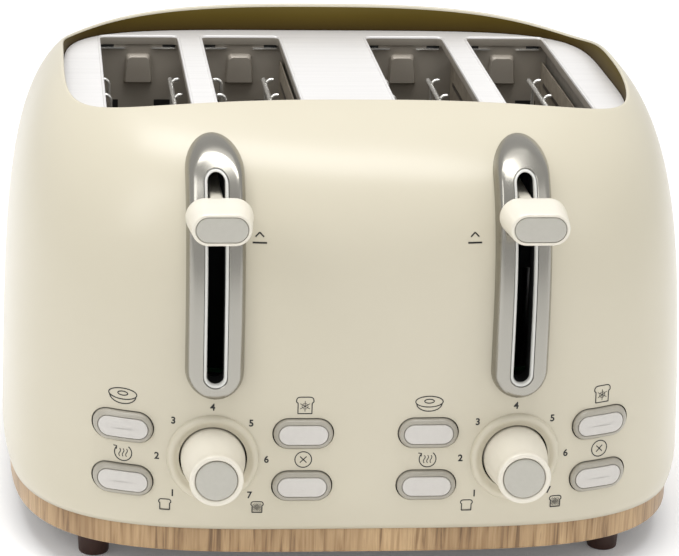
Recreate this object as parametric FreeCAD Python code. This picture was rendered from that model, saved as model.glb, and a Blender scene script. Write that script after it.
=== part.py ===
import FreeCAD, Part
import math
import os

# A four-slice pop-up toaster. Millimetres, +Z up, front towards -Y, feet standing on Z = 0.
# "Left" and "right" are as seen from the front: left is -X.

V = FreeCAD.Vector

# ---------------------------------------------------------------- overall body
body_width = 300.9
body_depth = 290.3
crown_height = 207.7          # the dome's pole, which the top opening cuts away
shell_bottom = 25.9           # where the painted shell meets the wood band
shell_wall = 1.0
section_power_low = 3.854     # superellipse power of the plan section at the shell's bottom
section_power_high = 2.58     # and at the crown
side_lean_start = -81.6       # height where the side walls' curve starts
side_lean_power = 5.824
side_lean_root = 7.011
front_lean_start = 82.6       # height where the front and back walls' curve starts
front_lean_power = 4.517
front_lean_root = 2.186

# ---------------------------------------------------------------- top opening and plate
rim_margin_side = 27.95       # from the body's side to the opening, in plan
rim_margin_front = 57.45      # from the body's front to the opening, in plan
opening_power = 4.5
plate_height = 183.8          # top face of the plate
plate_thickness = 1.5
plate_clearance = 0.3
rim_skirt = 3.0               # how far the rolled rim reaches below the plate
rim_gap = 0.5
slot_width = 36.2
slot_length = 140.0
slot_bridge = 11.75           # plate between the two slots of a pair
slot_back_margin = 14.1       # from the opening's back edge to the slots
slot_lip_depth = 4.0
slot_lip_wall = 0.8
slot_lip_radius = 3.0
pair_spacing = 125.6          # between the centres of the two pairs of slots

# ---------------------------------------------------------------- base
band_bottom = 14.8
band_inset = 0.9
band_wall = 4.0
pan_recess = 1.0
pan_thickness = 2.0
pan_rim_height = 19.0
pan_rim_wall = 1.6
pan_clearance = 0.3
foot_diameter = 13.0
foot_top_diameter = 15.0
foot_inset_side = 39.7        # foot axis from the body's side
foot_inset_front = 41.1       # foot axis from the body's front or back
screw_head_diameter = 6.0
screw_head_height = 0.8
screw_diameter = 3.0
screw_clearance = 0.05
screw_spacing_x = 60.0
screw_spacing_y = 105.0
screw_boss_diameter = 7.0
screw_boss_height = 5.0

# ---------------------------------------------------------------- lever track
track_width = 6.9
track_bottom = 92.6
track_top_drop = 7.0          # track's top end below the plate
liner_wall = 1.4
liner_proud = 5.6
liner_depth = 3.5
liner_clearance = 0.2
bezel_width = 24.0
bezel_proud = 6.5
bezel_foot_margin = 7.8       # bezel's bottom end below the track's
bezel_head_margin = 10.1      # bezel's top end above the track's

# ---------------------------------------------------------------- lever and carriage
lever_rest_below_plate = 18.2
lever_drop = 67.0
lever_lift = 7.0
arm_width = 5.5
arm_height = 5.0
knob_back_gap = 1.2           # lever knob behind face to the bezel's crest, at its lowest point
knob_depth = 20.0
knob_width = 27.4             # at its back; the knob narrows towards its front
knob_height = 15.6
knob_side_taper = 1.9
knob_top_taper = 1.2
cap_rim = 1.4
cap_thickness = 1.4
carriage_thickness = 2.0
carriage_headroom = 0.8
carriage_side = 7.0           # plate beyond each rack's centre
rod_diameter = 5.0
rod_clearance = 0.05
rod_offset = 14.0             # rod beside the lever arm
rod_stand = 9.0               # rod in front of the bulkhead
sleeve_wall = 3.0
spring_diameter = 7.0
spring_wire = 0.9
spring_coils = 14
spring_tab_width = 10.0
spring_tab_thickness = 1.5
spring_tab_drop = 1.0
spring_below_arm = 22.0
spring_clearance = 0.2

# ---------------------------------------------------------------- toasting chamber
bulkhead_thickness = 0.8
bulkhead_gap = 1.4            # slot end to bulkhead face
bulkhead_side = 12.0          # bulkhead beyond the outer slot
rack_spine = 4.0
rack_spine_height = 6.0
rack_tooth = 3.0
rack_tooth_width = 19.0
rack_teeth = 7
rack_end_margin = 9.0
rack_top_below_plate = 57.0
rack_slit_clearance = 0.35
rack_tail = 3.0
wire_diameter = 2.0
rail_diameter = 2.6
wire_offset = 14.4            # bread guide wires from the slot's centre
wire_count = 5
wire_end_gap = 0.4
wire_end_margin = 12.0
guide_top_below_plate = 12.0
guide_bottom = 47.0
card_thickness = 0.6
card_bottom = 48.0
card_top_below_plate = 12.0
card_offset = 1.4             # outer and inner cards beyond the slot's side
ribbon_width = 1.8
ribbon_thickness = 0.3
ribbon_count = 11
ribbon_margin = 9.0
reflector_thickness = 0.5
reflector_gap = 2.2
reflector_bottom = 42.0

# ---------------------------------------------------------------- controls
dial_height = 58.2
dial_ring_outer = 38.0
dial_ring_inner = 28.0
dial_ring_proud = 2.2
dial_base_diameter = 26.8
dial_nose_diameter = 22.0
dial_base_depth = 6.0
dial_proud = 24.7
dial_cap_diameter = 17.0
dial_cap_thickness = 1.6
spindle_diameter = 6.0
spindle_clearance = 0.05
spindle_hole_diameter = 9.0
button_width = 24.5
button_height = 12.6
button_proud = 2.5
button_travel = 2.5
button_clearance = 0.4
button_spacing = 73.8         # between the two columns of a group
button_row_top = 69.6
button_row_bottom = 46.5
stem_diameter = 4.0
stem_clearance = 0.3
frame_thickness = 2.0
frame_side = 48.0
frame_leg = 30.0
frame_top = 88.0
frame_from_front = 21.1       # frame's front face behind the body's front
board_gap = 4.6
board_thickness = 1.6
board_bottom = 36.0
switch_size = 6.0
switch_height = 0.9
sensor_diameter = 16.0
sensor_height = 7.0
magnet_size = 18.0
magnet_height = 14.0
magnet_from_bulkhead = 4.0

# ---------------------------------------------------------------- crumb trays and cord gland
tray_width = 84.0
tray_wall = 0.8
tray_height = 7.0
tray_bottom = 30.3
tray_clearance = 0.3
tray_front_gap = 4.0
tray_handle_width = 92.0
tray_handle_height = 14.0
tray_handle_thickness = 3.0
tray_handle_gap = 0.5
rail_back_margin = 24.0       # rails' ends from the body's back
rail_width = 4.0
gland_height = 62.0
gland_barrel = 12.0
gland_flange = 17.0
gland_bore = 7.0
gland_flange_thickness = 2.5
gland_clearance = 0.1

SECTION_POINTS = 36
SECTION_LEVELS = 10
FAR = 400.0

# ---------------------------------------------------------------- worked out from the sizes above
half_width = body_width / 2
half_depth = body_depth / 2
opening_half_width = half_width - rim_margin_side
opening_half_depth = half_depth - rim_margin_front
pair_centre = pair_spacing / 2
slot_offset = (slot_width + slot_bridge) / 2
slot_back = opening_half_depth - slot_back_margin
slot_front = slot_back - slot_length
plate_under = plate_height - plate_thickness
rim_under = plate_under - rim_skirt
track_top = plate_height - track_top_drop
lever_rest = plate_height - lever_rest_below_plate
rack_top = plate_height - rack_top_below_plate
front_face = slot_front - bulkhead_gap          # chamber side of the front bulkhead
back_face = slot_back + bulkhead_gap            # chamber side of the rear bulkhead
front_outside = front_face - bulkhead_thickness
carriage_back = front_outside - 1.0
carriage_front = carriage_back - carriage_thickness
carriage_bottom = rack_top - rack_spine_height
spring_anchor = plate_under - spring_tab_thickness - spring_tab_drop   # underside of the springs' upper tabs
carriage_top = spring_anchor - lever_lift - carriage_headroom
rod_y = front_outside - rod_stand
pan_bottom = band_bottom + pan_recess
pan_top = pan_bottom + pan_thickness
frame_front = -half_depth + frame_from_front
frame_back = frame_front + frame_thickness
board_front = frame_back + board_gap
tray_top = tray_bottom + tray_height
SIDES = (("left", -1), ("right", 1))

pieces = {}


def box(x0, x1, y0, y1, z0, z1):
    """A block between two corners."""
    return Part.makeBox(x1 - x0, y1 - y0, z1 - z0, V(x0, y0, z0))


def rod_along_y(diameter, x, z, y0, y1):
    return Part.makeCylinder(diameter / 2, y1 - y0, V(x, y0, z), V(0, 1, 0))


def rod_along_z(diameter, x, y, z0, z1):
    return Part.makeCylinder(diameter / 2, z1 - z0, V(x, y, z0), V(0, 0, 1))


def join(shapes):
    """One solid from touching or overlapping shapes."""
    first = shapes[0]
    return first.fuse(shapes[1:]).removeSplitter() if len(shapes) > 1 else first


def stadium(width, height, x, z, y0, y1):
    """A bar along Y whose section has two straight sides and two round ends."""
    radius = min(width, height) / 2
    reach_x = width / 2 - radius
    reach_z = height / 2 - radius
    if reach_x > reach_z:
        middle = box(x - reach_x, x + reach_x, y0, y1, z - radius, z + radius)
    else:
        middle = box(x - radius, x + radius, y0, y1, z - reach_z, z + reach_z)
    ends = [rod_along_y(2 * radius, x + side * reach_x, z + side * reach_z, y0, y1) for side in (-1, 1)]
    return join([middle] + ends)


def superellipse(half_x, half_y, power, z):
    """A closed smooth curve, round at the corners and nearly straight along the sides."""
    points = []
    for step in range(SECTION_POINTS):
        angle = 2 * math.pi * step / SECTION_POINTS
        across = abs(math.cos(angle) / half_x) ** power + abs(math.sin(angle) / half_y) ** power
        radius = across ** (-1 / power)
        points.append(V(radius * math.cos(angle), radius * math.sin(angle), z))
    curve = Part.BSplineCurve()
    curve.interpolate(Points=points, PeriodicFlag=True)
    return Part.Wire([curve.toShape()])


def column(half_x, half_y, power, z0, z1):
    """A straight column with a superellipse plan."""
    face = Part.Face(superellipse(half_x, half_y, power, z0))
    return face.extrude(V(0, 0, z1 - z0))


def remaining(z, start, crown, power, root):
    """Share of the full half size left at a height: 1 up to the start, 0 at the crown."""
    rise = min(max((z - start) / (crown - start), 0.0), 1.0)
    return (1.0 - rise ** power) ** (1.0 / root)


def body_half_sizes(z, grow):
    """Half width, half depth and plan power of the body's section, grown outwards."""
    crown = crown_height + grow
    across = (half_width + grow) * remaining(z, side_lean_start, crown, side_lean_power, side_lean_root)
    along = (half_depth + grow) * remaining(z, front_lean_start, crown, front_lean_power, front_lean_root)
    climb = min(max((z - shell_bottom) / (crown - shell_bottom), 0.0), 1.0)
    power = section_power_low + (section_power_high - section_power_low) * climb
    return across, along, power


def body_front(x, z, grow=0.0):
    """Y of the body's front surface at a place."""
    across, along, power = body_half_sizes(z, grow)
    return -along * (1 - abs(x / across) ** power) ** (1 / power)


def loft_top(grow):
    """A height at which the body's section lies well inside the opening."""
    low = plate_height
    high = crown_height + grow
    for _ in range(40):
        middle = (low + high) / 2
        across, along, _ = body_half_sizes(middle, grow)
        inside = across < 0.97 * opening_half_width and along < 0.93 * opening_half_depth
        low, high = (low, middle) if inside else (middle, high)
    return high


def body_solid(grow, bottom):
    """The body's outer shape, grown outwards by a few millimetres or inwards by a wall."""
    top = loft_top(grow)
    wires = []
    for level in range(SECTION_LEVELS + 1):
        z = bottom + (top - bottom) * math.sin(math.pi / 2 * level / SECTION_LEVELS)
        across, along, power = body_half_sizes(z, grow)
        wires.append(superellipse(across, along, power, z))
    return Part.makeLoft(wires, True, False)


def band_column(inset, z0, z1):
    """A column that follows the shell's bottom edge at an inset."""
    return column(half_width - inset, half_depth - inset, section_power_low, z0, z1)


outer = body_solid(0.0, shell_bottom)
inner = body_solid(-shell_wall, shell_bottom - 1.0)


def track_bar(extra, foot, head, y0, y1):
    """A bar over both lever tracks' outline, wider by extra and longer by foot and head."""
    width = track_width + 2 * extra
    z0 = track_bottom - foot
    z1 = track_top + head
    return [stadium(width, z1 - z0, side * pair_centre, (z0 + z1) / 2, y0, y1) for _, side in SIDES]


def button_places(side):
    """Name, X and Z of the four buttons of one group."""
    left = side * pair_centre - button_spacing / 2
    right = side * pair_centre + button_spacing / 2
    return (("bagel", left, button_row_top), ("reheat", left, button_row_bottom),
            ("defrost", right, button_row_top), ("cancel", right, button_row_bottom))


# ---------------------------------------------------------------- casing
def make_shell():
    """Painted steel shell with a rolled rim, pierced for the controls, trays and gland."""
    opening = column(opening_half_width, opening_half_depth, opening_power,
                     plate_height - 40, crown_height + 20)
    rim_outside = column(opening_half_width + shell_wall, opening_half_depth + shell_wall, opening_power,
                         rim_under, crown_height + 20)
    rim = rim_outside.common(outer).cut(opening)
    shell = outer.cut(inner).cut(opening).fuse(rim)
    holes = track_bar(liner_wall + liner_clearance, liner_wall + liner_clearance,
                      liner_wall + liner_clearance, -FAR, front_face)
    for _, side in SIDES:
        holes.append(rod_along_y(dial_ring_inner, side * pair_centre, dial_height, -FAR, front_face))
        for _, x, z in button_places(side):
            holes.append(stadium(button_width + 2 * button_clearance, button_height + 2 * button_clearance,
                                 x, z, -FAR, front_face))
        reach = tray_width / 2 + 2 * tray_clearance
        holes.append(box(side * pair_centre - reach, side * pair_centre + reach, back_face, FAR,
                         tray_bottom - tray_clearance, tray_top + 2 * tray_clearance))
    holes.append(rod_along_y(gland_barrel + 2 * gland_clearance, 0, gland_height, back_face, FAR))
    pieces["outer_shell"] = [shell.cut(holes)]


def make_base():
    """Wood-look band, base pan with its rails and bosses, feet and screws."""
    band = band_column(band_inset, band_bottom, shell_bottom)
    band = band.cut(band_column(band_inset + band_wall, band_bottom - 1, shell_bottom + 1))
    pieces["wood_band"] = [band]
    pan_inset = band_inset + band_wall + pan_clearance
    pan = band_column(pan_inset, pan_bottom, pan_top)
    rim = band_column(pan_inset, pan_bottom, pan_bottom + pan_rim_height)
    hollow = band_column(pan_inset + pan_rim_wall, pan_top, pan_bottom + pan_rim_height + 1)
    rails = []
    tray_reach = tray_width / 2
    tray_slots = []
    for _, side in SIDES:
        for edge in (-1, 1):
            x = side * pair_centre + edge * (tray_reach - rail_width)
            rails.append(box(x - rail_width / 2, x + rail_width / 2, slot_front, half_depth - rail_back_margin,
                             pan_top, tray_bottom - tray_clearance))
        tray_slots.append(box(side * pair_centre - tray_reach - 2, side * pair_centre + tray_reach + 2,
                              back_face, FAR, tray_bottom - tray_clearance, FAR))
    bosses = []
    bores = []
    screws = []
    for x, y in screw_places():
        bosses.append(rod_along_z(screw_boss_diameter, x, y, pan_bottom, pan_top + screw_boss_height))
        bores.append(rod_along_z(screw_diameter + 2 * screw_clearance, x, y, 0, pan_top + screw_boss_height + 1))
        head = rod_along_z(screw_head_diameter, x, y, pan_bottom - screw_head_height, pan_bottom)
        shank = rod_along_z(screw_diameter, x, y, pan_bottom - screw_head_height, pan_top + screw_boss_height)
        screws.append(join([head, shank]))
    pan = join([pan, rim.cut(hollow).cut(tray_slots)] + rails + bosses).cut(bores)
    pieces["base_pan"] = [pan]
    pieces["base_screws"] = screws
    feet = []
    for x in (-1, 1):
        for y in (-1, 1):
            place = V(x * (half_width - foot_inset_side), y * (half_depth - foot_inset_front), 0)
            feet.append(Part.makeCone(foot_diameter / 2, foot_top_diameter / 2, pan_bottom, place, V(0, 0, 1)))
    pieces["feet"] = feet


def screw_places():
    return [(x * screw_spacing_x, y * screw_spacing_y) for x in (-1, 0, 1) for y in (-1, 1)]


def slot_bar(x, grow, z0, z1):
    """A bread slot's outline as a block with rounded corners."""
    bar = box(x - slot_width / 2 - grow, x + slot_width / 2 + grow, slot_front - grow, slot_back + grow, z0, z1)
    uprights = [edge for edge in bar.Edges if abs(edge.BoundBox.ZLength - (z1 - z0)) < 0.01]
    return bar.makeFillet(slot_lip_radius + grow, uprights)


def slot_centres():
    return [side * pair_centre + half * slot_offset for _, side in SIDES for half in (-1, 1)]


def make_top_plate():
    """Satin steel plate with four bread slots, each with a turned-down lip."""
    plate = column(opening_half_width - plate_clearance, opening_half_depth - plate_clearance,
                   opening_power, plate_under, plate_height)
    lips = [slot_bar(x, slot_lip_wall, plate_height - slot_lip_depth, plate_height) for x in slot_centres()]
    slots = [slot_bar(x, 0, plate_height - slot_lip_depth - 1, plate_height + 1) for x in slot_centres()]
    pieces["top_plate"] = [join([plate] + lips).cut(slots)]


# ---------------------------------------------------------------- front trim
def make_front_trim():
    """Chrome bezels and liners round the lever tracks, and the raised rings round the dials."""
    bezel_extra = (bezel_width - track_width) / 2
    bezel_limit = body_solid(bezel_proud, shell_bottom)
    liner_limit = body_solid(liner_proud, shell_bottom)
    liner_inside = body_solid(-liner_depth, shell_bottom)
    ring_limit = body_solid(dial_ring_proud, shell_bottom)
    bezel_bars = track_bar(bezel_extra, bezel_foot_margin, bezel_head_margin, -FAR, slot_front)
    liner_bars = track_bar(liner_wall, liner_wall, liner_wall, -FAR, slot_front)
    track_bars = track_bar(0, 0, 0, -FAR, slot_front)
    for index, (name, side) in enumerate(SIDES):
        bezel = bezel_bars[index].common(bezel_limit).cut([outer, liner_bars[index]])
        pieces["bezel_" + name] = [bezel]
        liner = liner_bars[index].common(liner_limit).cut([liner_inside, track_bars[index]])
        pieces["track_liner_" + name] = [liner]
        ring = rod_along_y(dial_ring_outer, side * pair_centre, dial_height, -FAR, slot_front)
        hole = rod_along_y(dial_ring_inner, side * pair_centre, dial_height, -FAR, slot_front)
        pieces["dial_ring_" + name] = [ring.common(ring_limit).cut([outer, hole])]


# ---------------------------------------------------------------- toasting chamber
def make_bulkheads():
    """Upright steel sheets before and behind the slots, with slits for the racks' spines."""
    reach = pair_centre + slot_offset + slot_width / 2 + bulkhead_side
    slit = rack_spine / 2 + rack_slit_clearance
    slit_low = rack_top - rack_spine_height - lever_drop - 2
    slit_high = rack_top + lever_lift + 2
    shoulder = rim_under - rim_gap
    narrow = reach - bulkhead_side - slot_lip_radius
    front = join([box(-reach, reach, front_outside, front_face, pan_top, shoulder),
                  box(-narrow, narrow, front_outside, front_face, shoulder, plate_under)])
    back = join([box(-reach, reach, back_face, back_face + bulkhead_thickness, pan_top, shoulder),
                 box(-narrow, narrow, back_face, back_face + bulkhead_thickness, shoulder, plate_under)])
    slits = [box(x - slit, x + slit, -FAR, FAR, slit_low, slit_high) for x in slot_centres()]
    tabs = []
    openings = []
    for _, side in SIDES:
        x = side * (pair_centre - rod_offset)
        tabs.append(box(x - spring_tab_width / 2, x + spring_tab_width / 2, rod_y - spring_diameter / 2 - 1,
                        front_outside, spring_anchor, spring_anchor + spring_tab_thickness))
        tray = tray_width / 2 + 2 * tray_clearance
        openings.append(box(side * pair_centre - tray, side * pair_centre + tray, 0, FAR,
                            pan_top - 1, tray_top + 2 * tray_clearance))
    pieces["front_bulkhead"] = [join([front] + tabs).cut(slits)]
    pieces["rear_bulkhead"] = [back.cut(slits + openings)]


def card_places():
    """X of the six heater cards."""
    far = slot_offset + slot_width / 2 + card_offset
    return [side * pair_centre + shift for _, side in SIDES for shift in (-far, 0, far)]


def make_heaters():
    """Mica cards with flat heating ribbon, and the reflector sheets behind the end cards."""
    cards = []
    ribbons = []
    top = plate_height - card_top_below_plate
    half = card_thickness / 2
    for x in card_places():
        cards.append(box(x - half, x + half, front_face, back_face, card_bottom, top))
        pitch = (top - card_bottom - 2 * ribbon_margin) / (ribbon_count - 1)
        for row in range(ribbon_count):
            z = card_bottom + ribbon_margin + row * pitch
            for face in (-1, 1):
                near = x + face * half
                far = near + face * ribbon_thickness
                ribbons.append(box(min(near, far), max(near, far), front_face + ribbon_margin,
                                   back_face - ribbon_margin, z - ribbon_width / 2, z + ribbon_width / 2))
    pieces["heater_cards"] = cards
    pieces["heater_windings"] = ribbons
    outside = slot_offset + slot_width / 2 + card_offset + reflector_gap
    for name, sign in (("side_reflectors", 1), ("centre_reflectors", -1)):
        sheets = []
        for _, side in SIDES:
            x = side * (pair_centre + sign * outside)
            sheets.append(box(x - reflector_thickness / 2, x + reflector_thickness / 2, front_face, back_face,
                              reflector_bottom, rim_under - rim_gap))
        pieces[name] = sheets


def make_guides():
    """Wire bread guides: in each pair one set moves to the right and one to the left."""
    top = plate_height - guide_top_below_plate
    y0 = front_face + wire_end_gap
    y1 = back_face - wire_end_gap
    for name, side in SIDES:
        for label, edge in (("near", -1), ("far", 1)):
            grids = []
            for half in (-1, 1):
                x = side * pair_centre + half * slot_offset + edge * wire_offset
                bars = [rod_along_y(rail_diameter, x, z, y0, y1) for z in (guide_bottom, top)]
                pitch = (y1 - y0 - 2 * wire_end_margin) / (wire_count - 1)
                for row in range(wire_count):
                    y = y0 + wire_end_margin + row * pitch
                    bars.append(rod_along_z(wire_diameter, x, y, guide_bottom, top))
                grids.append(join(bars))
            pieces["bread_guide_%s_%s" % (name, label)] = grids


# ---------------------------------------------------------------- lever, carriage and racks
def make_lever(name, side):
    """Everything that one lever lowers: carriage, racks, arm, knob and the knob's inlay."""
    x = side * pair_centre
    reach = slot_offset + carriage_side
    plate = box(x - reach, x + reach, carriage_front, carriage_back, carriage_bottom, carriage_top)
    rod_x = side * (pair_centre + rod_offset)
    sleeve_half = rod_diameter / 2 + sleeve_wall
    sleeve = box(rod_x - sleeve_half, rod_x + sleeve_half, rod_y - sleeve_half, carriage_front,
                 carriage_bottom, carriage_top)
    spring_x = side * (pair_centre - rod_offset)
    tab_top = spring_bottom()
    tab = box(spring_x - spring_tab_width / 2, spring_x + spring_tab_width / 2,
              rod_y - spring_diameter / 2 - 1, carriage_front, tab_top - spring_tab_thickness, tab_top)
    bore = rod_along_z(rod_diameter + 2 * rod_clearance, rod_x, rod_y, 0, FAR)
    pieces["carriage_" + name] = [join([plate, sleeve, tab]).cut(bore)]
    pieces["bread_racks_" + name] = [make_rack(x + half * slot_offset) for half in (-1, 1)]
    back = knob_back()
    pieces["lever_arm_" + name] = [box(x - arm_width / 2, x + arm_width / 2, back, carriage_front,
                                       lever_rest - arm_height / 2, lever_rest + arm_height / 2)]
    front = back - knob_depth
    face_width = knob_width - 2 * knob_side_taper
    face_height = knob_height - 2 * knob_top_taper
    large = stadium_wire(knob_width, knob_height, x, lever_rest, back)
    small = stadium_wire(face_width, face_height, x, lever_rest, front)
    knob = Part.makeLoft([large, small], True, True)
    cap = stadium(face_width - 2 * cap_rim, face_height - 2 * cap_rim, x, lever_rest,
                  front, front + cap_thickness)
    pieces["lever_knob_" + name] = [knob.cut(cap)]
    pieces["lever_cap_" + name] = [cap]


def stadium_wire(width, height, x, z, y):
    """The stadium's outline in a plane of constant Y, for a width larger than the height."""
    radius = height / 2
    reach = width / 2 - radius
    left_top = V(x - reach, y, z + radius)
    right_top = V(x + reach, y, z + radius)
    left_low = V(x - reach, y, z - radius)
    right_low = V(x + reach, y, z - radius)
    right_end = Part.Arc(right_top, V(x + reach + radius, y, z), right_low)
    left_end = Part.Arc(left_low, V(x - reach - radius, y, z), left_top)
    return Part.Wire([Part.LineSegment(left_top, right_top).toShape(), right_end.toShape(),
                      Part.LineSegment(right_low, left_low).toShape(), left_end.toShape()])


def knob_back():
    """The knob's behind face clears the bezel's crest where the body stands furthest forward."""
    low = lever_rest - lever_drop - knob_height / 2
    crest = body_front(pair_centre - knob_width / 2, low, bezel_proud)
    return crest - knob_back_gap


def make_rack(x):
    """A toothed bar that carries the bread, guided by the bulkheads' slits."""
    spine = box(x - rack_spine / 2, x + rack_spine / 2, carriage_back, back_face + bulkhead_thickness + rack_tail,
                rack_top - rack_spine_height, rack_top - 1)
    teeth = []
    first = slot_front + rack_end_margin
    pitch = (slot_length - 2 * rack_end_margin) / (rack_teeth - 1)
    for row in range(rack_teeth):
        y = first + row * pitch
        teeth.append(box(x - rack_tooth_width / 2, x + rack_tooth_width / 2, y - rack_tooth / 2,
                         y + rack_tooth / 2, rack_top - rack_tooth, rack_top))
    return join([spine] + teeth)


def spring_bottom():
    return lever_rest - arm_height / 2 - spring_below_arm


def make_springs_and_rods():
    """Guide rods of the carriages, and the tension springs that lift them."""
    rods = []
    for name, side in SIDES:
        rods.append(rod_along_z(rod_diameter, side * (pair_centre + rod_offset), rod_y, pan_top, plate_under))
        z0 = spring_bottom() + spring_clearance
        z1 = spring_anchor - spring_clearance
        radius = (spring_diameter - spring_wire) / 2
        travel = z1 - z0 - spring_wire
        helix = Part.makeHelix(travel / spring_coils, travel, radius)
        ring = Part.Wire([Part.Circle(V(radius, 0, 0), V(0, 1, 0), spring_wire / 2).toShape()])
        coil = Part.Wire(helix.Edges).makePipeShell([ring], True, True)
        coil.translate(V(side * (pair_centre - rod_offset), rod_y, z0 + spring_wire / 2))
        pieces["lift_spring_" + name] = [coil]
    pieces["carriage_rods"] = rods


# ---------------------------------------------------------------- controls
def make_dial(name, side):
    """Browning control: a tapered knob with an inlaid cap, on a spindle."""
    x = side * pair_centre
    surface = body_front(pair_centre, dial_height)
    front = surface - dial_proud
    back = surface + dial_base_depth
    base = dial_base_diameter / 2
    nose = dial_nose_diameter / 2
    shoulder = surface - 0.35 * dial_proud
    outline = [V(0, back, 0), V(base, back, 0), V(base, surface - dial_ring_proud, 0),
               V(base - 1.0, shoulder, 0), V(nose, front, 0), V(0, front, 0), V(0, back, 0)]
    face = Part.Face(Part.makePolygon(outline))
    knob = face.revolve(V(0, 0, 0), V(0, 1, 0), 360)
    knob.translate(V(x, 0, dial_height))
    cap = rod_along_y(dial_cap_diameter, x, dial_height, front, front + dial_cap_thickness)
    socket_end = front + dial_cap_thickness + 2
    bore = rod_along_y(spindle_diameter, x, dial_height, socket_end, back)
    pieces["browning_knob_" + name] = [knob.cut([cap, bore])]
    pieces["knob_cap_" + name] = [cap]
    pieces["knob_spindle_" + name] = [rod_along_y(spindle_diameter, x, dial_height, socket_end, board_front)]


def make_buttons(name, side):
    """Four buttons with stems that reach their switches through the frame."""
    for label, x, z in button_places(side):
        head = stadium(button_width, button_height, x, z, -FAR, frame_front - button_travel - 0.6)
        head = head.common(button_limit)
        stem = rod_along_y(stem_diameter, x, z, frame_front - button_travel - 1, frame_back + 0.8)
        pieces["%s_button_%s" % (label, name)] = [join([head, stem])]


def make_control_frame(name, side):
    """Plastic frame that guides the stems, and the circuit board behind it."""
    x = side * pair_centre
    leg_top = pan_bottom + pan_rim_height + pan_clearance
    frame = box(x - frame_side, x + frame_side, frame_front, frame_back, leg_top, frame_top)
    leg = box(x - frame_leg, x + frame_leg, frame_front, frame_back, pan_top, leg_top)
    board = box(x - frame_side, x + frame_side, board_front, board_front + board_thickness,
                board_bottom, frame_top)
    posts = []
    stems = []
    parts = [board]
    for place_x in (-1, 1):
        for place_z in (board_bottom + 4, frame_top - 4):
            posts.append(rod_along_y(6, x + place_x * (frame_side - 4), place_z, frame_front, board_front))
    for _, button_x, z in button_places(side):
        stems.append(rod_along_y(stem_diameter + 2 * stem_clearance, button_x, z, -FAR, 0))
        half = switch_size / 2
        parts.append(box(button_x - half, button_x + half, board_front - switch_height, board_front,
                         z - half, z + half))
    stems.append(rod_along_y(spindle_hole_diameter, x, dial_height, -FAR, 0))
    pieces["button_frame_" + name] = [join([frame, leg] + posts).cut(stems)]
    sensor = rod_along_y(sensor_diameter, x, dial_height, board_front, board_front + sensor_height)
    bore = rod_along_y(spindle_diameter + 2 * spindle_clearance, x, dial_height, -FAR,
                       board_front + board_thickness)
    parts.append(sensor)
    pieces["control_board_" + name] = [join(parts).cut(bore)]


def make_magnet(name, side):
    """Electromagnet that holds the carriage down while the bread toasts."""
    x = side * pair_centre
    y1 = front_outside - magnet_from_bulkhead
    half = magnet_size / 2
    low = carriage_bottom - lever_drop - 0.6
    core = box(x - half, x + half, y1 - magnet_size, y1, low - magnet_height, low)
    leg = box(x - half, x + half, y1 - 2, y1, pan_top, low - magnet_height)
    foot = box(x - half, x + half, y1 - magnet_size, y1, pan_top, pan_top + 2)
    pieces["latch_magnet_" + name] = [join([core, leg, foot])]


# ---------------------------------------------------------------- trays and gland
def make_tray(name, side):
    """Crumb tray under one pair of slots, pulled out at the back by its handle."""
    x = side * pair_centre
    half = tray_width / 2
    y0 = front_face + tray_front_gap
    tray = box(x - half, x + half, y0, FAR, tray_bottom, tray_top)
    hollow = box(x - half + tray_wall, x + half - tray_wall, y0 + tray_wall, FAR,
                 tray_bottom + tray_wall, tray_top + 1)
    grip = tray_handle_width / 2
    middle = (tray_bottom + tray_top) / 2
    handle = box(x - grip, x + grip, back_face, FAR,
                 middle - tray_handle_height / 2, middle + tray_handle_height / 2)
    handle = handle.common(handle_outside).cut(handle_inside)
    pieces["crumb_tray_" + name] = [join([tray.cut(hollow).common(handle_inside), handle])]


def make_gland():
    """Bush in the back wall where the mains lead enters."""
    barrel = rod_along_y(gland_barrel, 0, gland_height, half_depth - shell_wall - 6, half_depth)
    flange = rod_along_y(gland_flange, 0, gland_height, half_depth, half_depth + gland_flange_thickness)
    bore = rod_along_y(gland_bore, 0, gland_height, 0, FAR)
    pieces["cord_gland"] = [join([barrel, flange]).cut(bore)]


button_limit = body_solid(button_proud, shell_bottom)
handle_inside = body_solid(tray_handle_gap, shell_bottom - tray_handle_height)
handle_outside = body_solid(tray_handle_gap + tray_handle_thickness, shell_bottom - tray_handle_height)

make_shell()
make_base()
make_top_plate()
make_front_trim()
make_bulkheads()
make_heaters()
make_guides()
make_springs_and_rods()
make_gland()
for side_name, side_sign in SIDES:
    make_lever(side_name, side_sign)
    make_dial(side_name, side_sign)
    make_buttons(side_name, side_sign)
    make_control_frame(side_name, side_sign)
    make_magnet(side_name, side_sign)
    make_tray(side_name, side_sign)

# The origin is the middle of the footprint. The toaster is symmetric about X = 0 already, so only
# its depth is centred.
bounds = FreeCAD.BoundBox()
for solids in pieces.values():
    for solid in solids:
        bounds.add(solid.BoundBox)
shift = V(0, -bounds.Center.y, -bounds.ZMin)

os.makedirs("parts", exist_ok=True)
for node, solids in pieces.items():
    group = Part.makeCompound([solid for shape in solids for solid in shape.Solids])
    group.translate(shift)
    group.exportStep("parts/%s.step" % node)
    print(node, len(group.Solids), group.isValid(), round(group.Volume, 1))
print("shift", shift.x, shift.y, shift.z)
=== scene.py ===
import math

import bmesh
import bpy
import numpy as np
from mathutils import Matrix, Vector
from mathutils.bvhtree import BVHTree


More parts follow.
